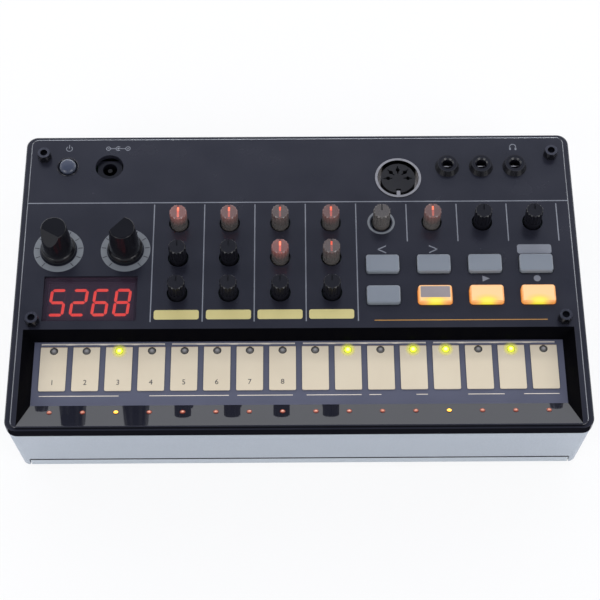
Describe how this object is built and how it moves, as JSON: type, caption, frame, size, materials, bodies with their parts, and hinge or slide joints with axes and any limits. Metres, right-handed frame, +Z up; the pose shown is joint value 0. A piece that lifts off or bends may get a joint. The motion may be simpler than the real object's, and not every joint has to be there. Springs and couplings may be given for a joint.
{
  "type": "drum machine",
  "caption": "Compact desktop rhythm machine with rotary shafts, two large knobs, push keys, a step keypad in a sunken well, a digit display and top-mounted sockets.",
  "frame": {"origin": "centre of the rectangular outline, on the surface under the rubber feet", "axes": "+X to the player's right, +Y to the rear (sockets side), +Z up out of the panel"},
  "size_m": [0.193, 0.115, 0.046],
  "materials": {
    "black_abs": "semi-gloss moulded ABS",
    "silver_paint": "plastic sprayed satin silver",
    "foot_rubber": "matt",
    "black_screw": "black oxide",
    "steel_screw": "zinc plated",
    "blue_board": "satin solder mask",
    "cream_pad": "satin ink over copper",
    "lamp_lens": "clear tinted lens",
    "pot_body": "matt",
    "switch_body": "matt",
    "socket_black": "satin",
    "socket_nut": "gloss black",
    "nickel": "nickel plated",
    "socket_insert": "matt",
    "smoked_window": "smoked red acrylic",
    "module_black": "matt",
    "green_board": "solder mask",
    "chip_black": "matt",
    "ribbon_grey": "pvc",
    "speaker_steel": "zinc plated",
    "speaker_paper": "paper",
    "cell_wrap": "plain sleeve over metal",
    "knob_black": "gloss",
    "shaft_metal": "turned",
    "smoke_button": "smoked",
    "shaft_clear": "clear moulded",
    "shaft_black": "satin moulded",
    "key_grey": "translucent",
    "key_lit": "translucent"
  },
  "bodies": {
    "case": {"base_plate": "silver_paint", "base_screws": "steel_screw", "battery_cells": "cell_wrap", "battery_contacts": "nickel", "big_pots": "pot_body", "board_parts": "chip_black", "board_screws": "steel_screw", "dc_pin": "nickel", "dc_socket": "socket_black", "din_insert": "socket_insert", "din_shell": "nickel", "display_module": "module_black", "display_window": "smoked_window", "jack_nuts": "socket_nut", "jack_sockets": "socket_black", "key_switches": "switch_body", "keypad_board": "blue_board", "keypad_pads": "cream_pad", "lip_lamps": "lamp_lens", "lower_case": "silver_paint", "main_board": "green_board", "pad_lamps": "lamp_lens", "panel_posts": "black_screw", "ribbon_cable": "ribbon_grey", "rubber_feet": "foot_rubber", "small_pots": "pot_body", "speaker_cone": "speaker_paper", "speaker_frame": "speaker_steel", "top_cover": "black_abs"},
    "knob_01": {"knob_01": "shaft_clear"},
    "knob_02": {"knob_02": "shaft_clear"},
    "knob_03": {"knob_03": "shaft_clear"},
    "knob_04": {"knob_04": "shaft_clear"},
    "knob_05": {"knob_05": "shaft_black"},
    "knob_06": {"knob_06": "shaft_black"},
    "knob_07": {"knob_07": "shaft_clear"},
    "knob_08": {"knob_08": "shaft_clear"},
    "knob_09": {"knob_09": "shaft_black"},
    "knob_10": {"knob_10": "shaft_black"},
    "knob_11": {"knob_11": "shaft_black"},
    "knob_12": {"knob_12": "shaft_black"},
    "knob_13": {"knob_13": "shaft_clear"},
    "knob_14": {"knob_14": "shaft_clear"},
    "knob_15": {"knob_15": "shaft_black"},
    "knob_16": {"knob_16": "shaft_black"},
    "key_1": {"key_1": "key_grey"},
    "key_2": {"key_2": "key_grey"},
    "key_3": {"key_3": "key_grey"},
    "key_4": {"key_4": "key_grey"},
    "key_5": {"key_5": "key_grey"},
    "key_6": {"key_6": "key_lit"},
    "key_7": {"key_7": "key_lit"},
    "key_8": {"key_8": "key_lit"},
    "big_knob_left": {"big_knob_left": "knob_black", "big_shaft_left": "shaft_metal"},
    "big_knob_right": {"big_knob_right": "knob_black", "big_shaft_right": "shaft_metal"},
    "power_button": {"power_button": "smoke_button"},
    "battery_cover": {"battery_cover": "silver_paint"}
  },
  "joints": [
    {"name": "knob_01_turn", "type": "hinge", "parent": "case", "child": "knob_01", "pos_m": [-0.0412, 0.0208, 0.0389], "axis": [0, 0, 1], "range_deg": [-140, 140]},
    {"name": "knob_02_turn", "type": "hinge", "parent": "case", "child": "knob_02", "pos_m": [-0.0237, 0.0208, 0.0389], "axis": [0, 0, 1], "range_deg": [-140, 140]},
    {"name": "knob_03_turn", "type": "hinge", "parent": "case", "child": "knob_03", "pos_m": [-0.00619, 0.0208, 0.0389], "axis": [0, 0, 1], "range_deg": [-140, 140]},
    {"name": "knob_04_turn", "type": "hinge", "parent": "case", "child": "knob_04", "pos_m": [0.01131, 0.0208, 0.0389], "axis": [0, 0, 1], "range_deg": [-140, 140]},
    {"name": "knob_05_turn", "type": "hinge", "parent": "case", "child": "knob_05", "pos_m": [-0.0412, 0.00705, 0.0389], "axis": [0, 0, 1], "range_deg": [-140, 140]},
    {"name": "knob_06_turn", "type": "hinge", "parent": "case", "child": "knob_06", "pos_m": [-0.0237, 0.00705, 0.0389], "axis": [0, 0, 1], "range_deg": [-140, 140]},
    {"name": "knob_07_turn", "type": "hinge", "parent": "case", "child": "knob_07", "pos_m": [-0.00619, 0.00705, 0.0389], "axis": [0, 0, 1], "range_deg": [-140, 140]},
    {"name": "knob_08_turn", "type": "hinge", "parent": "case", "child": "knob_08", "pos_m": [0.01131, 0.00705, 0.0389], "axis": [0, 0, 1], "range_deg": [-140, 140]},
    {"name": "knob_09_turn", "type": "hinge", "parent": "case", "child": "knob_09", "pos_m": [-0.0412, -0.0067, 0.0389], "axis": [0, 0, 1], "range_deg": [-140, 140]},
    {"name": "knob_10_turn", "type": "hinge", "parent": "case", "child": "knob_10", "pos_m": [-0.0237, -0.0067, 0.0389], "axis": [0, 0, 1], "range_deg": [-140, 140]},
    {"name": "knob_11_turn", "type": "hinge", "parent": "case", "child": "knob_11", "pos_m": [-0.00619, -0.0067, 0.0389], "axis": [0, 0, 1], "range_deg": [-140, 140]},
    {"name": "knob_12_turn", "type": "hinge", "parent": "case", "child": "knob_12", "pos_m": [0.01131, -0.0067, 0.0389], "axis": [0, 0, 1], "range_deg": [-140, 140]},
    {"name": "knob_13_turn", "type": "hinge", "parent": "case", "child": "knob_13", "pos_m": [0.02882, 0.0208, 0.0389], "axis": [0, 0, 1], "range_deg": [-140, 140]},
    {"name": "knob_14_turn", "type": "hinge", "parent": "case", "child": "knob_14", "pos_m": [0.04632, 0.0208, 0.0389], "axis": [0, 0, 1], "range_deg": [-140, 140]},
    {"name": "knob_15_turn", "type": "hinge", "parent": "case", "child": "knob_15", "pos_m": [0.06383, 0.0208, 0.0389], "axis": [0, 0, 1], "range_deg": [-140, 140]},
    {"name": "knob_16_turn", "type": "hinge", "parent": "case", "child": "knob_16", "pos_m": [0.08133, 0.0208, 0.0389], "axis": [0, 0, 1], "range_deg": [-140, 140]},
    {"name": "big_knob_left_turn", "type": "hinge", "parent": "case", "child": "big_knob_left", "pos_m": [-0.08241, 0.0103, 0.046], "axis": [0, 0, 1], "range_deg": [-300, 0]},
    {"name": "big_knob_right_turn", "type": "hinge", "parent": "case", "child": "big_knob_right", "pos_m": [-0.0594, 0.0103, 0.046], "axis": [0, 0, 1], "range_deg": [-196, 104]},
    {"name": "key_1_press", "type": "slide", "parent": "case", "child": "key_1", "axis": [0, 0, 1], "range_m": [-0.0008, 0], "stiffness_N_per_m": 700, "springref_m": 0.0005},
    {"name": "key_2_press", "type": "slide", "parent": "case", "child": "key_2", "axis": [0, 0, 1], "range_m": [-0.0008, 0], "stiffness_N_per_m": 700, "springref_m": 0.0005},
    {"name": "key_3_press", "type": "slide", "parent": "case", "child": "key_3", "axis": [0, 0, 1], "range_m": [-0.0008, 0], "stiffness_N_per_m": 700, "springref_m": 0.0005},
    {"name": "key_4_press", "type": "slide", "parent": "case", "child": "key_4", "axis": [0, 0, 1], "range_m": [-0.0008, 0], "stiffness_N_per_m": 700, "springref_m": 0.0005},
    {"name": "key_5_press", "type": "slide", "parent": "case", "child": "key_5", "axis": [0, 0, 1], "range_m": [-0.0008, 0], "stiffness_N_per_m": 700, "springref_m": 0.0005},
    {"name": "key_6_press", "type": "slide", "parent": "case", "child": "key_6", "axis": [0, 0, 1], "range_m": [-0.0008, 0], "stiffness_N_per_m": 700, "springref_m": 0.0005},
    {"name": "key_7_press", "type": "slide", "parent": "case", "child": "key_7", "axis": [0, 0, 1], "range_m": [-0.0008, 0], "stiffness_N_per_m": 700, "springref_m": 0.0005},
    {"name": "key_8_press", "type": "slide", "parent": "case", "child": "key_8", "axis": [0, 0, 1], "range_m": [-0.0008, 0], "stiffness_N_per_m": 700, "springref_m": 0.0005},
    {"name": "power_button_press", "type": "slide", "parent": "case", "child": "power_button", "axis": [0, 0, 1], "range_m": [-0.0008, 0], "stiffness_N_per_m": 700, "springref_m": 0.0005},
    {"name": "battery_cover_hinge", "type": "hinge", "parent": "case", "child": "battery_cover", "pos_m": [0, -0.04905, 0.0015], "axis": [1, 0, 0], "range_deg": [-95, 0]}
  ]
}
